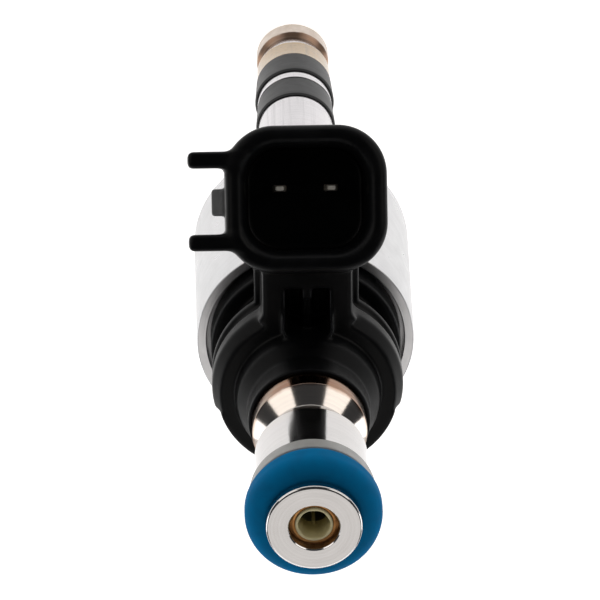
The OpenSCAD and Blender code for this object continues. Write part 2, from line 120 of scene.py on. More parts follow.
softbox("key_plus_x", (0.72, -0.58, 0.44), 0.6, 0.40, 0.34, 1.65, (1.0, 0.955, 0.905))
softbox("key_minus_x", (-0.72, -0.58, 0.44), 0.6, 0.40, 0.34, 1.65, (1.0, 0.955, 0.905))
softbox("top", (0, 0.60, 0.80), 0.7, 0.7, 0.44, 0.95, (1.0, 0.965, 0.93))
softbox("rear_plus_x", (0.9, 0.4, 0.12), 0.7, 0.3, 0.5, 2.4)
softbox("rear_minus_x", (-0.9, 0.4, 0.12), 0.7, 0.3, 0.5, 2.4)
softbox("far_side", (0, 0.93, 0.37), 0.7, 0.8, 0.4, 1.8)

# the sky is dim in reflections and pale where the camera sees it directly
world = bpy.data.worlds.new("studio")
bpy.context.scene.world = world
world.use_nodes = True
sky = world.node_tree.nodes["Background"]
sky.inputs["Color"].default_value = (0.93, 0.95, 1.0, 1)
sky.inputs["Strength"].default_value = 0.05
pale = world.node_tree.nodes.new("ShaderNodeBackground")
pale.inputs["Color"].default_value = (0.80, 0.805, 0.81, 1)
seen = world.node_tree.nodes.new("ShaderNodeLightPath")
either = world.node_tree.nodes.new("ShaderNodeMixShader")
world.node_tree.links.new(seen.outputs["Is Camera Ray"], either.inputs[0])
world.node_tree.links.new(sky.outputs[0], either.inputs[1])
world.node_tree.links.new(pale.outputs[0], either.inputs[2])
world.node_tree.links.new(either.outputs[0], world.node_tree.nodes["World Output"].inputs["Surface"])


# ---------------------------------------------------------------- materials
class Shader:
    """Builds one procedural material. Textures run on the part's own frame, in millimetres."""

    def __init__(self, name, **sockets):
        self.material = bpy.data.materials.new(name)
        self.material.use_nodes = True
        self.tree = self.material.node_tree
        self.bsdf = self.tree.nodes["Principled BSDF"]
        for key, value in sockets.items():
            socket = self.bsdf.inputs[key.replace("_", " ")]
            socket.default_value = (*value, 1) if isinstance(value, tuple) else value
        coords = self.tree.nodes.new("ShaderNodeTexCoord")
        scale = self.tree.nodes.new("ShaderNodeVectorMath")
        scale.operation = "SCALE"
        scale.inputs["Scale"].default_value = 1 / MM
        self.join(coords.outputs["Object"], scale.inputs[0])
        self.mm = scale.outputs[0]
        self.parts = self.tree.nodes.new("ShaderNodeSeparateXYZ")
        self.join(self.mm, self.parts.inputs[0])
        self.z = self.parts.outputs["Z"]
        self.height = None

    def join(self, a, b):
        self.tree.links.new(a, b)

    def emit(self, color, strength):
        self.bsdf.inputs["Emission Color"].default_value = (*color, 1)
        self.bsdf.inputs["Emission Strength"].default_value = strength

    def put(self, socket, value):
        if hasattr(value, "is_output"):
            self.join(value, socket)
        elif isinstance(value, tuple) and len(value) == 3 and socket.type == "RGBA":
            socket.default_value = (*value, 1)
        else:
            socket.default_value = value

    def math(self, op, a, b=0.0, clamp=False):
        n = self.tree.nodes.new("ShaderNodeMath")
        n.operation = op
        n.use_clamp = clamp
        self.put(n.inputs[0], a)
        self.put(n.inputs[1], b)
        return n.outputs[0]

    def stretch(self, x, y, z):
        n = self.tree.nodes.new("ShaderNodeVectorMath")
        n.operation = "MULTIPLY"
        self.join(self.mm, n.inputs[0])
        n.inputs[1].default_value = (x, y, z)
        return n.outputs[0]

    def turned(self, across=0.25, along=12.0):
        """Coordinates that repeat round the axis: angle, radius and height, for lathe marks."""
        angle = self.math("ARCTAN2", self.parts.outputs["X"], self.parts.outputs["Y"])
        radius = self.math(
            "SQRT",
            self.math(
                "ADD",
                self.math("MULTIPLY", self.parts.outputs["X"], self.parts.outputs["X"]),
                self.math("MULTIPLY", self.parts.outputs["Y"], self.parts.outputs["Y"]),
            ),
        )
        n = self.tree.nodes.new("ShaderNodeCombineXYZ")
        self.put(n.inputs[0], self.math("MULTIPLY", self.math("SINE", angle), across))
        self.put(n.inputs[1], self.math("MULTIPLY", radius, along))
        self.put(n.inputs[2], self.math("MULTIPLY", self.z, along))
        return n.outputs[0]

    def noise(self, vector=None, scale=1.0, detail=3.0, rough=0.55, distortion=0.0):
        n = self.tree.nodes.new("ShaderNodeTexNoise")
        self.join(vector or self.mm, n.inputs["Vector"])
        n.inputs["Scale"].default_value = scale
        n.inputs["Detail"].default_value = detail
        n.inputs["Roughness"].default_value = rough
        n.inputs["Distortion"].default_value = distortion
        return n.outputs["Fac"]

    def cells(self, scale=1.0):
        n = self.tree.nodes.new("ShaderNodeTexVoronoi")
        self.join(self.mm, n.inputs["Vector"])
        n.inputs["Scale"].default_value = scale
        return n.outputs["Distance"]

    def ramp(self, fac, *stops):
        n = self.tree.nodes.new("ShaderNodeValToRGB")
        r = n.color_ramp
        while len(r.elements) < len(stops):
            r.elements.new(0.5)
        for e, (at, c) in zip(r.elements, stops):
            e.position = at
            e.color = (*c, 1) if isinstance(c, tuple) else (c, c, c, 1)
        self.put(n.inputs[0], fac)
        return n.outputs["Color"]

    def between(self, value, low, high, to_low=0.0, to_high=1.0):
        n = self.tree.nodes.new("ShaderNodeMapRange")
        self.put(n.inputs["Value"], value)
        for key, v in (("From Min", low), ("From Max", high), ("To Min", to_low), ("To Max", to_high)):
            n.inputs[key].default_value = v
        return n.outputs[0]

    def mix(self, fac, a, b):
        n = self.tree.nodes.new("ShaderNodeMix")
        n.data_type = "RGBA"
        self.put(n.inputs["Factor"], fac)
        self.put(n.inputs["A"], a)
        self.put(n.inputs["B"], b)
        return n.outputs["Result"]

    def attribute(self, name):
        n = self.tree.nodes.new("ShaderNodeAttribute")
        n.attribute_name = name
        return n.outputs["Fac"]

    def color(self, value):
        self.put(self.bsdf.inputs["Base Color"], value)

    def rough(self, value):
        self.put(self.bsdf.inputs["Roughness"], value)

    def bump(self, value, depth, strength=1.0):
        """Adds a bump layer whose full range is depth millimetres."""
        n = self.tree.nodes.new("ShaderNodeBump")
        n.inputs["Strength"].default_value = strength
        n.inputs["Distance"].default_value = depth * MM
        self.put(n.inputs["Height"], value)
        if self.height is not None:
            self.join(self.height, n.inputs["Normal"])
        self.height = n.outputs["Normal"]
        self.join(self.height, self.bsdf.inputs["Normal"])


def steel(name, tone, rough, ring_pitch=9.0, ring_depth=0.004, grime=0.5, tint=None, marks=0.5, streaks_and_reflection=0.0):
    """Turned steel: fine rings round the axis, soft stains, optional darker streaks along it that are drawing
    marks and a painted reflection, and tint along it.
    """
    s = Shader(name, Metallic=1.0)
    rings = s.noise(s.turned(0.3, ring_pitch), 1.0, 3.0, 0.7)
    drawn_and_reflected_streaks = s.noise(s.stretch(2.2, 2.2, 0.06), 1.0, 3.0, 0.65)
    coarse = s.noise(s.turned(0.8, ring_pitch / 6), 1.0, 2.0, 0.6)
    stains = s.noise(s.stretch(0.35, 0.35, 0.25), 1.0, 4.0, 0.6, 0.6)
    specks = s.cells(scale=2.2)
    base = s.mix(s.ramp(stains, (0.3, 0.0), (0.75, 1.0)), tone, tuple(0.91 * c for c in tone))
    if tint:
        base = tint(s, base)
    base = s.mix(s.ramp(rings, (0.32, 0.3), (0.6, 0.0)), base, tuple(0.72 * c for c in tone))
    base = s.mix(s.ramp(specks, (0.0, 0.35 * grime), (0.06, 0.0)), base, (0.12, 0.11, 0.1))
    # darker lengthwise streaks: drawing marks, and a painted reflection of dark lines
    base = s.mix(s.ramp(drawn_and_reflected_streaks, (0.5, 0.0), (0.8, streaks_and_reflection)), base, tuple(0.45 * c for c in tone))
    s.color(base)
    wear = s.ramp(stains, (0.35, rough * 0.86), (0.7, rough * 1.18))
    s.rough(s.mix(s.ramp(coarse, (0.4, 0.0), (0.62, marks * 0.5)), wear, (rough * 1.5,) * 3))
    s.bump(rings, ring_depth)
    s.bump(s.noise(scale=0.5, detail=2), 0.01, 0.4)
    return s.material


def tip_tint(low, high):
    """Heat colours near the tip: brown, then a speckled tan that fades away from the flame."""

    def apply(s, base):
        wobble = s.between(s.noise(scale=0.9, detail=3), 0.2, 0.8, -0.1, 0.1)
        at = s.between(s.math("ADD", s.z, wobble), low, high)
        straw = s.ramp(
            at,
            (0.0, (0.42, 0.33, 0.28)), (0.05, (0.74, 0.73, 0.76)), (0.22, (0.82, 0.81, 0.83)),
            (0.28, (0.44, 0.325, 0.20)), (0.65, (0.50, 0.40, 0.29)), (1.0, (0.62, 0.60, 0.58)),
        )
        speckle = s.ramp(s.noise(scale=3.2, detail=4), (0.52, 0.0), (0.72, 0.45))
        straw = s.mix(speckle, straw, (0.30, 0.22, 0.16))
        return s.mix(s.ramp(at, (0.7, 0.95), (1.0, 0.0)), base, straw)

    return apply


def seat_tint(ring_top):
    """Pinkish end ring with a brown cone above it, which goes near-black higher up as a painted groove
    shadow.
    """

    def apply(s, base):
        wobble = s.between(s.noise(scale=1.4, detail=3), 0.2, 0.8, -0.1, 0.1)
        patches = s.ramp(s.noise(scale=1.1, detail=4), (0.35, 0.0), (0.7, 1.0))
        ring = s.mix(patches, (0.66, 0.59, 0.53), (0.54, 0.46, 0.39))
        at = s.between(s.math("ADD", s.z, wobble), ring_top - 0.2, ring_top + 0.9)
        cone = s.mix(s.noise(scale=0.45, detail=2), (0.42, 0.25, 0.13), (0.20, 0.14, 0.13))
        # the near-black above the brown cone is a painted groove shadow
        cone_with_painted_shadow = s.mix(s.ramp(at, (0.45, 0.0), (0.72, 1.0)), cone, (0.045, 0.03, 0.025))
        return s.mix(s.ramp(at, (0.08, 0.0), (0.22, 1.0)), ring, cone_with_painted_shadow)

    return apply


def fitting_tint(z_ring, z_cone, z_neck):
    """Bronze heat tint on the collar, a faint blush above it."""

    def apply(s, base):
        wobble = s.between(s.noise(scale=0.5, detail=3), 0.2, 0.8, -0.12, 0.12)
        h = s.math("ADD", s.z, wobble)
        bronze = s.ramp(
            s.noise(s.stretch(0.16, 0.3, 0.5), 1.0, 2.0),
            (0.35, (0.20, 0.070, 0.018)), (0.5, (0.23, 0.098, 0.034)), (0.66, (0.22, 0.14, 0.085)),
        )
        low = s.ramp(s.between(h, z_ring, z_cone + 0.25), (0.0, 0.95), (0.85, 0.9), (1.0, 0.0))
        blush = s.ramp(
            s.between(h, z_cone, z_neck + 8),
            (0.0, (0.66, 0.56, 0.48)), (0.3, (0.63, 0.58, 0.535)), (0.6, (0.62, 0.60, 0.60)),
            (1.0, (0.61, 0.60, 0.60)),
        )
        return s.mix(low, s.mix(0.55, base, blush), bronze)

    return apply


def black_plastic(name, tone=(0.0012, 0.0013, 0.0016), rough=0.38, glass=0.5):
    """Glass-filled moulded plastic: fine moulded grain, flow marks, worn edges that are also lightened as a
    painted highlight, dust in corners.
    """
    s = Shader(name, Specular_IOR_Level=0.1)
    flow = s.noise(s.stretch(0.25, 0.25, 0.5), 1.0, 4.0, 0.6, 1.2)
    grain = s.noise(scale=14.0, detail=2.0)
    fibres = s.noise(s.stretch(3.0, 3.0, 9.0), 1.0, 2.0, 0.6, 0.8)
    edge = s.attribute("edge_wear_and_highlight")
    dust = s.attribute("dust")
    base = s.mix(s.ramp(flow, (0.35, 0.0), (0.75, 1.0)), tone, tuple(1.7 * c for c in tone))
    base = s.mix(s.ramp(fibres, (0.62, 0.0), (0.78, 0.35 * glass)), base, tuple(4 * c for c in tone))
    # convex edges are lightened: partly wear, partly a painted highlight
    worn_and_lit_edges = s.math("MULTIPLY", edge, s.ramp(s.noise(scale=1.6, detail=3), (0.35, 0.15), (0.7, 0.75)))
    base = s.mix(worn_and_lit_edges, base, tuple(6 * c for c in tone))
    base = s.mix(s.math("MULTIPLY", dust, 0.35), base, (0.02, 0.019, 0.018))
    s.color(base)
    s.rough(s.mix(s.ramp(flow, (0.3, 0.0), (0.7, 1.0)), (rough * 0.85,) * 3, (rough * 1.2,) * 3))
    s.bump(grain, 0.006)
    s.bump(flow, 0.02, 0.5)
    return s.material


def rubber(name, tone, rough=0.45):
    """Moulded seal: soft mottling, a faint bloom and fine dust."""
    s = Shader(name, Specular_IOR_Level=0.05)
    mottle = s.noise(s.stretch(0.5, 0.5, 0.5), 1.0, 3.0, 0.6, 0.5)
    dust = s.cells(scale=3.0)
    base = s.mix(s.ramp(mottle, (0.3, 0.0), (0.72, 1.0)), tone, tuple(min(1.0, 1.22 * c) for c in tone))
    base = s.mix(s.ramp(dust, (0.0, 0.35), (0.05, 0.0)), base, (0.12, 0.25, 0.38))
    s.color(base)
    s.rough(s.ramp(mottle, (0.3, rough * 0.85), (0.7, rough * 1.2)))
    s.bump(s.noise(scale=7.0, detail=3), 0.008)
    return s.material


def dark_seal(name, low, high):
    """Carbon-filled seal: turned finish, black towards its high end, over the proud edge."""
    s = Shader(name, Specular_IOR_Level=0.35)
    rings = s.noise(s.turned(0.4, 5.0), 1.0, 3.0, 0.7)
    mottle = s.noise(s.stretch(0.8, 0.8, 1.6), 1.0, 3.0)
    base = s.ramp(mottle, (0.3, (0.012, 0.0125, 0.014)), (0.7, (0.029, 0.030, 0.033)))
    base = s.mix(s.ramp(rings, (0.5, 0.0), (0.75, 0.5)), base, (0.052, 0.054, 0.058))
    height = s.math("ADD", s.z, s.between(mottle, 0.2, 0.8, -0.15, 0.15))
    # black towards the seal's high end
    black_high_end = s.between(height, low + 0.8 * (high - low), low + 0.87 * (high - low))
    s.color(s.mix(s.math("MULTIPLY", black_high_end, 0.9, True), base, (0.004, 0.004, 0.005)))
    s.rough(s.ramp(rings, (0.3, 0.34), (0.7, 0.5)))
    s.bump(rings, 0.01)
    return s.material


def plain(name, tone, rough, metallic=0.0, scale=1.5, bump=0.008, spread=0.2):
    """Small inner piece: colour mottling, roughness change and a fine bump."""
    s = Shader(name, Metallic=metallic)
    mottle = s.noise(scale=scale, detail=4, distortion=0.4)
    s.color(s.mix(s.ramp(mottle, (0.3, 0.0), (0.7, 1.0)), tone, tuple(c * (1 - spread) for c in tone)))
    s.rough(s.ramp(mottle, (0.3, rough * 0.85), (0.7, min(1.0, rough * 1.2))))
    s.bump(s.noise(scale=scale * 5, detail=2), bump)
    return s.material


def burnt_brass(name, top):
    """Drawn brass, orange-brown with scorched patches."""
    s = Shader(name, Metallic=1.0)
    burn = s.noise(s.stretch(0.9, 0.9, 0.5), 1.0, 4.0, 0.6, 0.6)
    base = s.ramp(burn, (0.3, (0.34, 0.15, 0.05)), (0.5, (0.58, 0.28, 0.09)), (0.7, (0.74, 0.40, 0.15)))
    s.color(s.mix(s.between(s.z, top - 0.5, top, 0.0, 0.35), base, (0.16, 0.07, 0.03)))
    s.rough(s.ramp(burn, (0.3, 0.55), (0.7, 0.4)))
    s.bump(s.noise(scale=5.0, detail=3), 0.01)
    return s.material


def tinned(name, tip):
    """Tin-plated terminal: the tip is brightened as a painted glint, duller plating behind."""
    s = Shader(name, Metallic=1.0)
    mottle = s.noise(scale=3.0, detail=4, distortion=0.4)
    base = s.ramp(mottle, (0.3, (0.66, 0.60, 0.50)), (0.7, (0.80, 0.75, 0.64)))
    # brighter towards the tip: a painted glint
    s.color(s.mix(s.between(s.z, tip - 0.9, tip, 0.0, 0.7), base, (0.95, 0.93, 0.86)))
    s.rough(s.ramp(mottle, (0.3, 0.38), (0.7, 0.5)))
    s.bump(s.noise(s.stretch(2, 2, 8), 1.0, 2), 0.004)
    return s.material


def copper(name, pitch=2.6):
    """Wound enamelled wire, as even turns along the axis, darker between turns as painted shade and lighter
    on each turn as a painted highlight.
    """
    s = Shader(name, Metallic=0.85)
    turns = s.math("SINE", s.math("MULTIPLY", s.z, 2 * math.pi * pitch))
    # painted shade between turns, painted highlight on each turn
    s.color(s.mix(s.between(turns, -1, 1), (0.30, 0.10, 0.04), (0.74, 0.33, 0.16)))
    s.rough(s.ramp(s.noise(scale=2.0), (0.3, 0.25), (0.7, 0.42)))
    s.bump(turns, 0.08)
    return s.material


def screen(name):
    """Woven filter screen: crossed wires round and along the axis, with the openings between them painted
    dark as painted shade.
    """
    s = Shader(name, Metallic=0.7)
    angle = s.math("ARCTAN2", s.parts.outputs["X"], s.parts.outputs["Y"])
    a = s.math("SINE", s.math("MULTIPLY", angle, 90.0))
    b = s.math("SINE", s.math("MULTIPLY", s.z, 52.0))
    weave = s.math("MAXIMUM", a, b)
    # the openings between the wires are painted dark: painted shade
    s.color(s.mix(s.between(weave, -0.2, 0.9), (0.05, 0.05, 0.03), (0.42, 0.42, 0.30)))
    s.rough(s.between(weave, -1, 1, 0.7, 0.35))
    s.bump(weave, 0.05)
    return s.material


# ---------------------------------------------------------------- mesh tools
def new_object(name, mesh, material, slot, *nodes, body="injector_body"):
    """Adds a piece that stands for CAD nodes. It rides on a body, unless body is None."""
    piece = bpy.data.objects.new(name, mesh)
    bpy.context.scene.collection.objects.link(piece)
    mesh.materials.append(material)
    if body:
        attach(piece, body)
    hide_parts(*nodes)
    return piece


def mesh_from(name, bm):
    mesh = bpy.data.meshes.new(name)
    bm.to_mesh(mesh)
    bm.free()
    return mesh


def rounded(points, steps=5):
    """Profile with round corners, from points (r, z, radius). A tight row by each arc keeps faces flat."""
    nearly_straight = 1.53
    out = []
    n = len(points)
    for i, p in enumerate(points):
        here = Vector(p[:2])
        radius = p[2]
        if not radius:
            out.append(here)
            continue
        a = (Vector(points[i - 1][:2]) - here).normalized()
        b = (Vector(points[(i + 1) % n][:2]) - here).normalized()
        half = math.acos(max(-1, min(1, a.dot(b)))) / 2
        if half > nearly_straight:
            out.append(here)
            continue
        reach = min(
            radius / math.tan(half),
            0.48 * (Vector(points[i - 1][:2]) - here).length,
            0.48 * (Vector(points[(i + 1) % n][:2]) - here).length,
        )
        radius = reach * math.tan(half)
        middle = here + (a + b).normalized() * radius / math.sin(half)
        start, end = here + a * reach - middle, here + b * reach - middle
        total = start.angle_signed(end)
        guard = min(0.02, 0.3 * reach)
        out.append(here + a * (reach + guard))
        for k in range(steps + 1):
            turn = Matrix.Rotation(-total * k / steps, 2)
            out.append(middle + turn @ start)
        out.append(here + b * (reach + guard))
    return out


def lathe(name, points, segments=256, wave=None, steps=5):
    """Solid of revolution from a closed profile in (r, z), millimetres. A point with r = 0 becomes a pole."""
    rows = rounded(points, steps)
    bm = bmesh.new()
    rings = []
    for p in rows:
        if p.x < 1e-6:
            rings.append([bm.verts.new((0, 0, p.y * MM))])
            continue
        ring = []
        for k in range(segments):
            t = 2 * math.pi * k / segments
            r, z = (p.x, p.y) if wave is None else wave(t, p.x, p.y)
            ring.append(bm.verts.new((r * MM * math.cos(t), r * MM * math.sin(t), z * MM)))
        rings.append(ring)
    for i, a in enumerate(rings):
        b = rings[(i + 1) % len(rings)]
        if len(a) == 1 and len(b) == 1:
            continue
        for k in range(segments):
            j = (k + 1) % segments
            if len(a) == 1:
                bm.faces.new((a[0], b[k], b[j]))
            elif len(b) == 1:
                bm.faces.new((a[k], b[0], a[j]))
            else:
                bm.faces.new((a[k], b[k], b[j], a[j]))
    bmesh.ops.recalc_face_normals(bm, faces=bm.faces)
    for f in bm.faces:
        f.smooth = True
    return mesh_from(name, bm)


def arc_bar(bm, r_in, r_out, middle, width, low, high):
    """Adds an upright bar whose section is a piece of a ring, width radians wide."""
    ends = []
    for z in (low, high):
        arc = [middle + width * (k / 6 - 0.5) for k in range(7)]
        section = [(r_in, t) for t in arc] + [(r_out, t) for t in reversed(arc)]
        ends.append([bm.verts.new((r * MM * math.cos(t), r * MM * math.sin(t), z * MM)) for r, t in section])
    low_ring, high_ring = ends
    n = len(low_ring)
    bm.faces.new(reversed(low_ring))
    bm.faces.new(high_ring)
    for k in range(n):
        j = (k + 1) % n
        bm.faces.new((low_ring[k], low_ring[j], high_ring[j], high_ring[k]))


def blade(name, x, line, width, thick, tip_len, tip_width, tip_thick, bevel):
    """Flat terminal bar at x along (y, z) points, with bevelled edges and a coined tip at its first point."""
    first, second = Vector(line[0]), Vector(line[1])
    run = (second - first).normalized()
    rows = [
        (first, run, tip_width, tip_thick),
        (first + run * 0.12, run, tip_width + 0.16, tip_thick + 0.14),
        (first + run * tip_len, run, width, thick),
    ]
    for before, here, after in zip(line, line[1:], line[2:]):
        a = (Vector(here) - Vector(before)).normalized()
        b = (Vector(after) - Vector(here)).normalized()
        rows.append((Vector(here), (a + b).normalized(), width, thick / (a + b).normalized().dot(a)))
    last = Vector(line[-1])
    rows.append((last, (last - Vector(line[-2])).normalized(), width, thick))
    bm = bmesh.new()
    rings = []
    for at, way, w, t in rows:
        side = Vector((-way.y, way.x))
        cut = min(bevel, 0.3 * t)
        section = [(w / 2 - cut, -t / 2), (w / 2, -t / 2 + cut), (w / 2, t / 2 - cut), (w / 2 - cut, t / 2)]
        section += [(-a, b) for a, b in reversed(section)]
        ring = [(x + a, at.x + b * side.x, at.y + b * side.y) for a, b in section]
        rings.append([bm.verts.new((px * MM, py * MM, pz * MM)) for px, py, pz in ring])
    bm.faces.new(rings[0])
    bm.faces.new(reversed(rings[-1]))
    for a, b in zip(rings, rings[1:]):
        for k in range(8):
            bm.faces.new((a[k], b[k], b[(k + 1) % 8], a[(k + 1) % 8]))
    bmesh.ops.recalc_face_normals(bm, faces=bm.faces)
    return mesh_from(name, bm)


def coil(name, radius, wire, low, high, turns, per_turn=48, sides=14):
    """Closed round coil between two heights, with its end turns wound close."""
    total = turns * per_turn
    end_share, end_rise, creep = 0.15, 0.055, 0.03
    end_height = end_rise + creep * end_share

    def rise(t):
        """Share of the height reached after share t of the wire."""
        u = min(t, 1 - t)
        if u >= end_share:
            return end_height + (t - end_share) / (1 - 2 * end_share) * (1 - 2 * end_height)
        v = u / end_share
        part = end_rise * (2 * v * v if v < 0.5 else 1 - 2 * (1 - v) ** 2) + creep * u
        return part if t < 0.5 else 1 - part

    bm = bmesh.new()
    rings = []
    for i in range(total + 1):
        a = 2 * math.pi * i / per_turn
        middle = low + wire + (high - low - 2 * wire) * rise(i / total)
        ring = []
        for k in range(sides):
            b = 2 * math.pi * k / sides
            r = radius + wire * math.cos(b)
            z = middle + wire * math.sin(b)
            ring.append(bm.verts.new((r * MM * math.cos(a), r * MM * math.sin(a), z * MM)))
        rings.append(ring)
    for a, b in zip(rings, rings[1:]):
        for k in range(sides):
            j = (k + 1) % sides
            bm.faces.new((a[k], a[j], b[j], b[k])).smooth = True
    bm.faces.new(rings[0])
    bm.faces.new(reversed(rings[-1]))
    bmesh.ops.recalc_face_normals(bm, faces=bm.faces)
    return mesh_from(name, bm)


def polygon_field(a, b, points):
    """Signed distance to a closed polygon, negative inside, for arrays a and b."""
    best = np.full(a.shape, 1e9, np.float32)
    inside = np.zeros(a.shape, bool)
    for (ax, ay), (bx, by) in zip(points, points[1:] + points[:1]):
        ex, ey = bx - ax, by - ay
        wx, wy = a - ax, b - ay
        t = np.clip((wx * ex + wy * ey) / (ex * ex + ey * ey), 0, 1)
        best = np.minimum(best, (wx - ex * t) ** 2 + (wy - ey * t) ** 2)
        if ay != by:
            crosses = (ay <= b) != (by <= b)
            inside ^= crosses & (a < ax + (b - ay) * ex / ey)
    return np.where(inside, -1, 1) * np.sqrt(best)


def rounded_box_field(a, b, w, h, r):
    """Signed distance to a rounded rectangle centred on the origin."""
    qa, qb = np.abs(a) - (w / 2 - r), np.abs(b) - (h / 2 - r)
    return np.hypot(np.maximum(qa, 0), np.maximum(qb, 0)) + np.minimum(np.maximum(qa, qb), 0) - r


def extrude_field(flat, c, low, high, r=0.0):
    """Extrudes a flat field from low to high along c, with its end edges rounded by r."""
    side, cap = flat + r, np.maximum(low - c, c - high) + r
    return np.minimum(np.maximum(side, cap), 0) + np.hypot(np.maximum(side, 0), np.maximum(cap, 0)) - r


def blend_fields(a, b, size):
    """Union of two fields with a fillet of about size between them."""
    return np.minimum(a, b) - np.maximum(size - np.abs(a - b), 0) ** 2 / (4 * size)


def soften(field, sigma):
    """Gaussian blur of a grid, which rounds every edge and corner a little."""
    reach = int(math.ceil(2.6 * sigma))
    taps = [math.exp(-0.5 * (k / sigma) ** 2) for k in range(-reach, reach + 1)]
    total = sum(taps)
    for axis in range(3):
        before = np.repeat(np.take(field, [0], axis), reach, axis)
        after = np.repeat(np.take(field, [-1], axis), reach, axis)
        padded = np.concatenate([before, field, after], axis)
        out = np.zeros_like(field)
        for k, tap in enumerate(taps):
            cut = [slice(None)] * 3
            cut[axis] = slice(k, k + field.shape[axis])
            out += np.float32(tap / total) * padded[tuple(cut)]
        field = out
    return field


def sample(field, points):
    """Trilinear value of a grid at points given in grid units."""
    top = np.array(field.shape) - 1.001
    p = np.clip(points, 0, top)
    i = p.astype(int)
    f = p - i
    value = 0
    for dx in (0, 1):
        for dy in (0, 1):
            for dz in (0, 1):
                w = (
                    (f[:, 0] if dx else 1 - f[:, 0])
                    * (f[:, 1] if dy else 1 - f[:, 1])
                    * (f[:, 2] if dz else 1 - f[:, 2])
                )
                value = value + w * field[i[:, 0] + dx, i[:, 1] + dy, i[:, 2] + dz]
    return value


def skin(field):
    """Closed quad mesh round a grid's negative part: a point per crossed cell, a face per crossed edge."""
    neg = field < 0
    nx, ny, nz = field.shape
    count = np.zeros((nx - 1, ny - 1, nz - 1), np.int8)
    corners = [(a, b, c) for a in (0, 1) for b in (0, 1) for c in (0, 1)]
    for a, b, c in corners:
        count += neg[a : nx - 1 + a, b : ny - 1 + b, c : nz - 1 + c]
    cells = np.argwhere((count > 0) & (count < 8))
    number = np.full(count.shape, -1, np.int32)
    number[tuple(cells.T)] = np.arange(len(cells))
    where = np.zeros((len(cells), 3))
    hits = np.zeros(len(cells))
    for axis in range(3):
        step = np.eye(3, dtype=int)[axis]
        for corner in corners:
            if corner[axis]:
                continue
            c0 = cells + np.array(corner)
            c1 = c0 + step
            d0, d1 = field[tuple(c0.T)], field[tuple(c1.T)]
            cross = (d0 < 0) != (d1 < 0)
            t = np.where(cross, d0 / np.where(cross, d0 - d1, 1), 0)
            where += cross[:, None] * (c0 + t[:, None] * step)
            hits += cross
    where /= hits[:, None]
    unit = np.eye(3)
    for _ in range(4):
        value = sample(field, where)
        slope = np.stack([sample(field, where + 0.5 * u) - sample(field, where - 0.5 * u) for u in unit], 1)
        where -= (value / np.maximum((slope**2).sum(1), 1e-6))[:, None].clip(-0.7, 0.7) * slope
    faces = []
    for axis in range(3):
        u, v = (axis + 1) % 3, (axis + 2) % 3
        lo = [slice(None)] * 3
        hi = [slice(None)] * 3
        lo[axis], hi[axis] = slice(0, -1), slice(1, None)
        flip = neg[tuple(lo)] != neg[tuple(hi)]
        edges = np.argwhere(flip)
        for side in (u, v):
            edges = edges[(edges[:, side] > 0) & (edges[:, side] < field.shape[side] - 1)]
        eu, ev = np.eye(3, dtype=int)[u], np.eye(3, dtype=int)[v]
        quad = np.stack([number[tuple((edges - off).T)] for off in (0 * eu, eu, eu + ev, ev)], 1)
        inward = neg[tuple(edges.T)]
        quad[~inward] = quad[~inward][:, ::-1]
        faces.append(quad)
    return where, np.concatenate(faces)


def field_mesh(name, where, faces):
    mesh = bpy.data.meshes.new(name)
    mesh.vertices.add(len(where))
    mesh.vertices.foreach_set("co", where.astype(np.float32).ravel())
    mesh.loops.add(faces.size)
    mesh.loops.foreach_set("vertex_index", faces.astype(np.int32).ravel())
    mesh.polygons.add(len(faces))
    mesh.polygons.foreach_set("loop_start", np.arange(0, faces.size, 4, dtype=np.int32))
    mesh.polygons.foreach_set("use_smooth", np.ones(len(faces), bool))
    mesh.update(calc_edges=True)
    mesh.validate()
    return mesh


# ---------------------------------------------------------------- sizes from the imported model
fit_low, fit_top, sleeve_r = span("inlet_fitting")
ring_low, ring_top, ring_r = span("inlet_o_ring")
back_low, back_top, back_r = span("backup_ring")
brass_low, brass_top, bore_r = span("filter_collar")
cup_low, cup_top, cup_r = span("filter_basket")
pot_low, pot_top, pot_out = span("solenoid_housing")
washer_low, washer_top, pot_in = span("flux_washer")
tube_low, tube_top, hub_r = span("nozzle_tube")
seal_low, seal_high, seal_r = span("combustion_seal_lower")
seal2_low, seal2_high, _ = span("combustion_seal_upper")
sleeve_low, sleeve_top, _ = span("valve_sleeve")
mould_lo, mould_hi = (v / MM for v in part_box("connector_housing"))

# sizes that no bounding box shows, as in the CAD source
sleeve_in = sleeve_r - 0.9
groove_r = 3.415
seal_proud, seal_groove = 0.22, 0.55
nozzle_r = seal_r - seal_proud
tip_ring_h = 1.76
z_cone, z_neck = mould_hi.z + 1.8, mould_hi.z + 3.3

steel_barrel = steel(
    "turned_steel_inlet", (0.62, 0.605, 0.595), 0.12, 4.2, 0.003, 0.15,
    fitting_tint(mould_hi.z, z_cone, z_neck),
)
steel_pot = steel("satin_steel_housing", (0.62, 0.62, 0.63), 0.3, 8.0, 0.004, 0.5)
steel_tube = steel(
    "polished_steel_nozzle", (0.66, 0.645, 0.66), 0.15, 6.0, 0.003, 0.5,
    tip_tint(tube_low, seal_low + 1.5), streaks_and_reflection=0.4,
)
steel_tip = steel("heat_tinted_tip", (0.70, 0.62, 0.56), 0.34, 8.0, 0.01, 1.0, seat_tint(tip_ring_h))

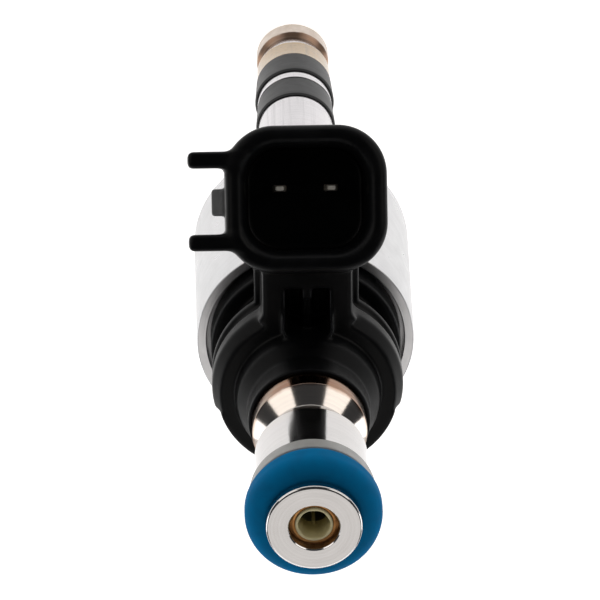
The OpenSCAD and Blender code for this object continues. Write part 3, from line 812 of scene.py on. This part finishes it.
# ---------------------------------------------------------------- inlet
z_barrel = z_neck + 2.5
z_flange = ring_top + 0.1
barrel_r, neck_r, flange_r = 5.26, 3.9, 4.47
barrel_break = 0.22
fuel_r, z_fuel = 1.9, fit_low + 12
fitting = lathe(
    "fitting",
    [
        (bore_r, z_fuel, 0), (fuel_r, z_fuel, 0), (fuel_r, fit_low, 0.1), (sleeve_in, fit_low, 0.1),
        (sleeve_in, sleeve_top, 0.02), (sleeve_r, sleeve_top, 0.05), (sleeve_r, z_cone, 0.12),
        (neck_r, z_neck, 0.25), (neck_r, z_barrel, 0.2), (barrel_r - barrel_break, z_barrel, 0.08),
        (barrel_r, z_barrel + barrel_break, 0.12), (barrel_r, back_low, 0.12),
        (groove_r, back_low, 0.15), (groove_r, z_flange, 0.12), (flange_r, z_flange, 0.15),
        (flange_r, fit_top, 0.24), (bore_r + 0.1, fit_top, 0.05), (bore_r, fit_top - 0.12, 0.05),
    ],
)
new_object("inlet_fitting_turned", fitting, steel_barrel, "inlet_steel", "inlet_fitting")


def uneven(t, r, z):
    """The O-ring's outside, beyond 5 mm, is never quite round."""
    return r - 0.012 * (1 + math.sin(5 * t)) * (r > 5), z


o_ring = lathe(
    "o_ring",
    [
        (groove_r, ring_low, 1.3), (ring_r, ring_low, 1.44),
        (ring_r, ring_top, 1.44), (groove_r, ring_top, 1.3),
    ],
    steps=16,
    wave=uneven,
)
blue_rubber = rubber("blue_seal_rubber", (0.0, 0.122, 0.285), 0.7)
new_object("inlet_o_ring_moulded", o_ring, blue_rubber, "blue_seal", "inlet_o_ring")

backup = lathe(
    "backup",
    [(groove_r, back_low, 0.1), (back_r, back_low, 0.2), (back_r, back_top, 0.15), (groove_r, back_top, 0.1)],
)
grey_plastic = plain("backup_ring_plastic", (0.34, 0.34, 0.33), 0.35, scale=0.8)
new_object("backup_ring_turned", backup, grey_plastic, "backup_plastic", "backup_ring")

# ---------------------------------------------------------------- filter
brass = lathe(
    "brass",
    [
        (cup_r, brass_low, 0.05), (bore_r, brass_low, 0.05), (bore_r, brass_top - 0.25, 0.1),
        (cup_r + 0.25, brass_top, 0.12), (cup_r, brass_top - 0.05, 0.08),
    ],
)
brass_look = burnt_brass("filter_collar_brass", brass_top)
new_object("filter_collar_drawn", brass, brass_look, "filter_brass", "filter_collar")

hole_r = cup_r - 0.28
floor_r, cup_floor = hole_r + 0.1, cup_low + 0.5


def fluted(t, r, z):
    """Six shallow flutes round the basket's hole."""
    return r + (0.035 * math.cos(6 * t) if r < hole_r + 0.02 else 0), z


basket = bmesh.new()
for rows in (
    [(hole_r, brass_low, 0.05), (cup_r, brass_low, 0.05), (cup_r, cup_top, 0.08), (hole_r, cup_top, 0.1)],
    [(0, cup_low, 0), (floor_r, cup_low, 0.15), (floor_r, cup_floor, 0.05), (0, cup_floor, 0)],
):
    basket.from_mesh(lathe("basket_ring", rows, wave=fluted))
for quarter in range(4):
    middle = quarter * math.pi / 2
    arc_bar(basket, hole_r - 0.35, hole_r, middle, math.radians(13), cup_low + 0.3, brass_low + 0.5)
cream_plastic = plain("filter_basket_plastic", (0.72, 0.64, 0.36), 0.4, scale=1.2)
new_object(
    "filter_basket_moulded", mesh_from("basket", basket), cream_plastic, "filter_plastic", "filter_basket"
)

# ---------------------------------------------------------------- solenoid housing
housing = lathe(
    "housing",
    [
        (hub_r, pot_low, 0.08), (pot_out, pot_low, 1.2), (pot_out, pot_top - 5.2, 0),
        (pot_out, pot_top, 0.14), (pot_in, pot_top, 0.1), (pot_in, sleeve_low, 0.3),
        (hub_r, sleeve_low, 0.1),
    ],
    steps=8,
)
new_object("solenoid_housing_turned", housing, steel_pot, "housing_steel", "solenoid_housing")

# ---------------------------------------------------------------- nozzle
z_hub, z_chamber = pot_low - 2.5, tube_top - 3.4
needle_bore_r, chamber_r = 2.6, 3.5
tip_r, land_r = nozzle_r - 0.65, nozzle_r - 0.08
seal_in = nozzle_r - seal_groove
tube = lathe(
    "tube",
    [
        (needle_bore_r, tube_low, 0.05), (tip_r, tube_low, 0.03), (nozzle_r - 0.32, tube_low + 0.3, 0.1),
        (land_r, tube_low + 1.27, 0.2), (land_r, seal_low, 0.05), (seal_in, seal_low, 0.03),
        (seal_in, seal_high, 0.03), (nozzle_r, seal_high, 0.06), (nozzle_r, seal2_low, 0.06),
        (seal_in, seal2_low, 0.03), (seal_in, seal2_high, 0.03), (nozzle_r, seal2_high, 0.06),
        (nozzle_r, z_hub - (hub_r - nozzle_r), 0.6), (hub_r, z_hub, 0.3), (hub_r, sleeve_low, 0.05),
        (sleeve_in, sleeve_low, 0.03), (sleeve_in, tube_top, 0.1), (chamber_r, tube_top, 0.1),
        (chamber_r, z_chamber, 0.1), (needle_bore_r, z_chamber, 0.1),
    ],
)
new_object("nozzle_tube_turned", tube, steel_tube, "nozzle_steel", "nozzle_tube")

for name, low, high in (
    ("combustion_seal_lower", seal_low, seal_high),
    ("combustion_seal_upper", seal2_low, seal2_high),
):
    ring = lathe(
        name,
        [
            (seal_in, low, 0.05), (nozzle_r - 0.1, low, 0.05), (nozzle_r + 0.02, low + 0.3, 0.15),
            (seal_r, high - 0.25, 0.12), (seal_r - 0.12, high, 0.06), (seal_in, high, 0.05),
        ],
    )
    new_object(name + "_turned", ring, dark_seal(name + "_carbon_ptfe", low, high), "dark_seal", name)

# ---------------------------------------------------------------- overmould and plug socket
lean = math.radians(30)
mount = next(m for m in frame["record"]["mounts"] if m["name"] == "plug_socket")
mouth = Vector(mount["pos_m"]) / MM
z_face = mouth.z + 0.11
z_taper, z_boss, z_boss_top = z_face + 1.6, z_face + 3.1, mould_hi.z
z_collar, z_groove, z_disc, z_ridge = z_face - 2.8, z_face - 3.9, z_face - 4.8, z_face - 8.1
disc_r = -mould_lo.x
shallow_r, face_r, boss_r = disc_r - 0.45, disc_r - 0.77, sleeve_r + 0.38
ridge_in, disc_out = disc_r - 1.5, disc_r - 0.05
stem_half, fillet_r = 4.225, 1.5

# across X, then up the leaning socket, then the corner's radius
socket_w, socket_h, socket_corner, socket_len = 15.16, 13.76, 4.6, 12
cavity_w, cavity_h, cavity_corner, cavity_depth = 10.96, 9.56, 3.0, 9.6
lip_roll, lip_len, lip_depth = 1.9, 2.4, 2.6
rail_half, rail_thick, rail_round, rail_len, rail_spread, rail_shift = 3.25, 1.55, 0.45, 8, 3.875, 0.1
ramp_start, ramp_proud, ramp_middle, ramp_half = 2.4, 1.25, 0.22, 1.275
pocket_half, pocket_far, pocket_low = 2.06, mouth.y + 9.78, z_face - 3
rib_half = 0.47

# the grid that the overmould's signed distance is worked out on, negative inside, in millimetres
step_mm = 0.15
lo = np.array(mould_lo) - 4 * step_mm
hi = np.array(mould_hi) + 4 * step_mm
axes = [np.arange(a, b, step_mm, dtype=np.float32) for a, b in zip(lo, hi)]
X, Y, Z = np.meshgrid(*axes, indexing="ij")
R = np.hypot(X, Y)
# the socket's own axes: LY up the leaning mouth, LZ out of it
LY = (Y - mouth.y) * math.cos(lean) + (Z - mouth.z) * math.sin(lean)
LZ = -(Y - mouth.y) * math.sin(lean) + (Z - mouth.z) * math.cos(lean)


def socket_point(y, d):
    """A point of the socket's middle plane as (y, z): y up the leaning mouth, d below it."""
    return (
        mouth.y + y * math.cos(lean) + d * math.sin(lean),
        mouth.z + y * math.sin(lean) - d * math.cos(lean),
    )


def turned_body():
    """Boss, collar, grooved neck and ridge. The collar is wide on the socket's side and narrow behind."""
    outline = [
        (-1, washer_top), (disc_r, washer_top), (disc_r, z_ridge), (ridge_in, z_ridge), (ridge_in, z_disc),
        (disc_out, z_disc), (disc_out, z_groove), (shallow_r, z_groove), (shallow_r, z_collar + 0.1),
        (face_r, z_collar + 0.1), (face_r, z_face), (sleeve_r + 1.5, z_face), (sleeve_r + 1.3, z_taper),
        (boss_r, z_boss), (boss_r, z_boss_top), (-1, z_boss_top),
    ]
    collar_in, wide_end, narrow_start = 6, 2.3, 2.2
    chamfered = [
        (collar_in, z_collar), (disc_r, z_collar), (disc_r, z_face - 1.3), (face_r, z_face),
        (collar_in, z_face),
    ]
    wide = np.maximum(polygon_field(R, Z, chamfered), Y - wide_end)
    narrow = extrude_field(R - shallow_r, Z, z_collar - 0.1, z_face)
    narrow = np.maximum(narrow, narrow_start - Y)
    return np.minimum.reduce([polygon_field(R, Z, outline), wide, narrow])


def stem():
    """Arm from the collar to the socket, with a web on each side and fillets that spread into the collar."""
    half_h, under = socket_h / 2, pot_top + 0.9
    outline = [
        (-sleeve_r, z_face), (mouth.y + 7, z_face), socket_point(half_h - 0.6, 2.2),
        socket_point(0, cavity_depth + 1), socket_point(2.2 - half_h, cavity_depth + 1),
        socket_point(2.2 - half_h, cavity_depth + 2.4), socket_point(half_h - 4.2, cavity_depth + 3.9),
        (-pot_out - 0.6, under), (-sleeve_r, under),
    ]
    arm = extrude_field(polygon_field(Y, Z, outline), np.abs(X), -1, stem_half)
    web = extrude_field(np.abs(X) - stem_half - 0.72, Y, mouth.y + 5.4, -sleeve_r)
    web = extrude_field(web, Z, z_disc, z_groove)
    fx = stem_half + fillet_r
    fy = -math.sqrt((disc_r + fillet_r) ** 2 - fx**2)
    share = disc_r / (disc_r + fillet_r)
    wedge = polygon_field(np.abs(X), Y, [(0, fy), (fx, fy), (fx * share, fy * share), (0, fy * share)])
    fillets = np.maximum(wedge, fillet_r - np.hypot(np.abs(X) - fx, Y - fy))
    return np.minimum.reduce([arm, web, extrude_field(fillets, Z, z_collar, z_face)])


def socket_shell():
    """Plug socket's outside, with two guide rails and the lock ramp between them."""
    shell = rounded_box_field(X, LY, socket_w, socket_h, socket_corner)
    shell = extrude_field(shell, LZ, -socket_len, 0, 0.8)
    rail_x = X - socket_w / 2 - 0.2
    for middle in (rail_shift - rail_spread, rail_shift + rail_spread):
        rail = rounded_box_field(rail_x, LY - middle, 2 * rail_half, rail_thick, rail_round)
        shell = blend_fields(shell, extrude_field(rail, LZ, -rail_len, 0, 0.25), 0.6)
    slope = [(-1, 0), (0.15, 0), (ramp_proud, -2.4), (ramp_proud, -4), (-1, -4)]
    ramp = polygon_field(X - socket_w / 2, LZ + ramp_start, slope)
    return np.minimum(shell, extrude_field(ramp, LY, ramp_middle - ramp_half, ramp_middle + ramp_half))


def cavity():
    """Room for the plug, with a lip that rolls outward at the mouth."""
    hollow = extrude_field(rounded_box_field(X, LY, cavity_w, cavity_h, cavity_corner), LZ, -cavity_depth, 4)
    near = np.clip(1 + LZ / lip_len, 0, 0.999)
    roll = lip_roll * (1 - np.sqrt(1 - near * near))
    lip = rounded_box_field(X, LY, cavity_w + roll, cavity_h + roll, cavity_corner + 0.4 * roll)
    return np.minimum(hollow, extrude_field(lip, LZ, -lip_depth, 4))


def pocket_and_rim():
    """Pointed pocket in the stem's front with a rib down its middle, and the raised rim round it."""
    outline = polygon_field(
        np.abs(X),
        Y,
        [
            (-1, pocket_far), (pocket_half, pocket_far), (pocket_half, -sleeve_r - 1.5),
            (0.3, -sleeve_r - 0.85), (-1, -sleeve_r - 0.85),
        ],
    )
    rim_top = z_face + 0.2 + 1.1 * np.clip((Y + sleeve_r + 3.6) / 3, 0, 1)
    rim = np.maximum.reduce(
        [outline - 0.34, Y + sleeve_r + 0.45, z_face - 1 - Z, Z - rim_top, pocket_far + 2.2 - Y]
    )
    rib = extrude_field(np.abs(X) - rib_half, Z, pocket_low - 1, z_face - 1.2)
    rib_high = extrude_field(np.abs(X) - rib_half, Y, pocket_far - 1, pocket_far + 1.2)
    rib_high = extrude_field(rib_high, Z, pocket_low - 1, z_face)
    pocket = extrude_field(outline, Z, pocket_low, z_face + 4)
    return np.maximum(pocket, -np.minimum(rib, rib_high)), rim


solid = np.minimum.reduce([turned_body(), stem(), socket_shell()])
pocket, rim = pocket_and_rim()
solid = np.maximum.reduce([np.minimum(solid, rim), -cavity(), -pocket, sleeve_r - 0.15 - R])
soft_mm, edge_band_mm = 0.15, 0.09
smooth = soften(solid, soft_mm / step_mm)
where, faces = skin(smooth)
mould = field_mesh("overmould", (where * step_mm + lo) * MM, faces)
# softening leaves edges inside the sharp shape, where they wear and get a painted highlight, and corners
# outside it, where dust gathers
hard = sample(solid, where)
for key, value in (("edge_wear_and_highlight", -hard / edge_band_mm), ("dust", hard / edge_band_mm)):
    layer = mould.attributes.new(key, "FLOAT", "POINT")
    layer.data.foreach_set("value", np.clip(value, 0, 1).astype(np.float32))
black = black_plastic("overmould_plastic")
new_object("overmould_moulded", mould, black, "black_plastic", "connector_housing")

leg = -sleeve_r - 0.8
for name in ("terminal_plus", "terminal_minus"):
    low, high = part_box(name)
    line = [
        socket_point(-1, 3.6), socket_point(-1, cavity_depth + 1.2),
        (leg, z_ridge + 1.5), (leg, washer_low - 0.3),
    ]
    pin = blade(
        name, 0.5 * (low.x + high.x) / MM, line, width=1.3, thick=0.64,
        tip_len=1.2, tip_width=0.72, tip_thick=0.38, bevel=0.09,
    )
    new_object(name + "_stamped", pin, tinned(name + "_tin", line[0][1]), "terminal_metal", name)

# ---------------------------------------------------------------- each spring is wound in place and stays where it stands, on no body
# each end follows the body that it bears on
for name, wire, turns, fixed, moving, fixed_top in (
    ("return_spring", 0.32, 7, "injector_body", "needle_group", True),
    ("damper_spring", 0.18, 3, "needle_group", "armature", False),
):
    low, high, out = span(name)
    wound = coil(name, out - wire, wire, low, high, turns)
    wire_steel = plain(name + "_steel", (0.42, 0.42, 0.44), 0.3, 1.0, 3.0)
    spring = new_object(name + "_wound", wound, wire_steel, "spring_steel", name, body=None)
    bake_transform(spring)

# ---------------------------------------------------------------- CAD nodes that keep their shape
looks = {
    "filter_mesh": screen("filter_screen"),
    "flux_washer": steel("washer_iron", (0.5, 0.5, 0.51), 0.4, 5.0),
    "coil_bobbin": plain("bobbin_plastic", (0.22, 0.11, 0.05), 0.5),
    "coil_winding": copper("copper_wire"),
    "valve_sleeve": steel("sleeve_steel", (0.72, 0.72, 0.72), 0.3, 8.0),
    "pole_core": steel("pole_iron", (0.56, 0.56, 0.57), 0.36, 6.0),
    "adjusting_sleeve": steel("adjuster_steel", (0.7, 0.7, 0.7), 0.32, 8.0),
    "upper_stop_ring": steel("ground_steel_upper", (0.76, 0.76, 0.78), 0.25, 8.0),
    "lower_stop_ring": steel("ground_steel_lower", (0.76, 0.76, 0.78), 0.25, 8.0),
    "armature": steel("armature_iron", (0.6, 0.6, 0.61), 0.3, 6.0),
    "needle": steel("needle_steel", (0.78, 0.78, 0.8), 0.2, 8.0),
    "valve_ball": plain("ball_steel", (0.85, 0.85, 0.86), 0.08, 1.0, 4.0, 0.001, 0.05),
    "needle_guide": steel("guide_steel", (0.72, 0.72, 0.74), 0.25, 8.0),
    "valve_seat": steel_tip,
}
for node, material in looks.items():
    data = frame["nodes"][node].data
    data.materials.clear()
    data.materials.append(material)

# ---------------------------------------------------------------- floor
bm = bmesh.new()
bmesh.ops.create_grid(bm, x_segments=8, y_segments=8, size=3.0)
floor = bpy.data.objects.new("floor", mesh_from("floor", bm))
bpy.context.scene.collection.objects.link(floor)
floor.location.z = cad_box[0][2] - 0.2 * MM
floor_look = Shader("pale_floor", Roughness=0.9, Specular_IOR_Level=0.1)
floor_look.color(floor_look.ramp(floor_look.noise(scale=0.02), (0.3, 0.93), (0.7, 0.96)))
floor_look.emit((1.0, 0.995, 0.99), 0.72)
floor.data.materials.append(floor_look.material)

bpy.context.view_layer.update()
